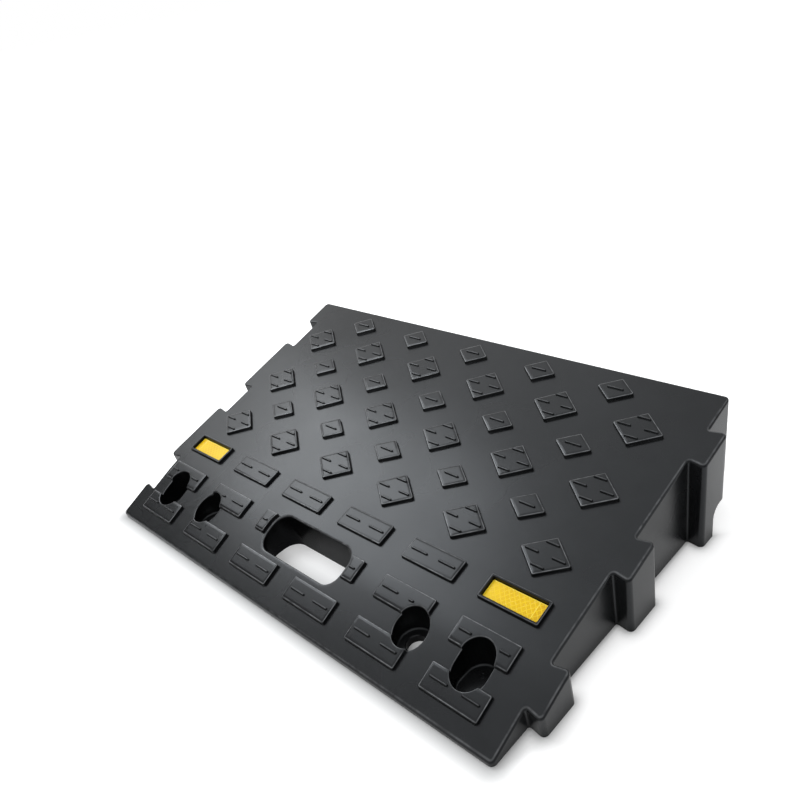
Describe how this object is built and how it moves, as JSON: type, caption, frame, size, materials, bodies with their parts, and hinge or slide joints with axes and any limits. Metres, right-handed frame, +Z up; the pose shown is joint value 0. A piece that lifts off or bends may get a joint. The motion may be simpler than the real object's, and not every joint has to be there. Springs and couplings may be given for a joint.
{
  "type": "plastic kerb ramp",
  "caption": "Moulded plastic kerb ramp with raised tread pads, a handle opening, anchor and slot wells, side locking tabs and notches, a drain channel and inset yellow reflectors.",
  "frame": {"origin": "middle of the footprint between the two side faces, on the ground, where the middle rib crosses it", "axes": "+X along the width toward the locking tabs, +Y from the front lip toward the kerb, +Z up"},
  "size_m": [0.6175, 0.369, 0.117],
  "materials": {
    "ramp_plastic": "black moulded plastic with a fine satin grain",
    "reflective_sheet": "yellow retroreflective sheet with a fine cell lattice",
    "adhesive": "pale acrylic foam tape"
  },
  "bodies": {
    "root": {"ramp_body": "ramp_plastic", "reflector_right": "reflective_sheet", "reflector_left": "reflective_sheet", "reflector_adhesive_right": "adhesive", "reflector_adhesive_left": "adhesive"}
  },
  "joints": []
}
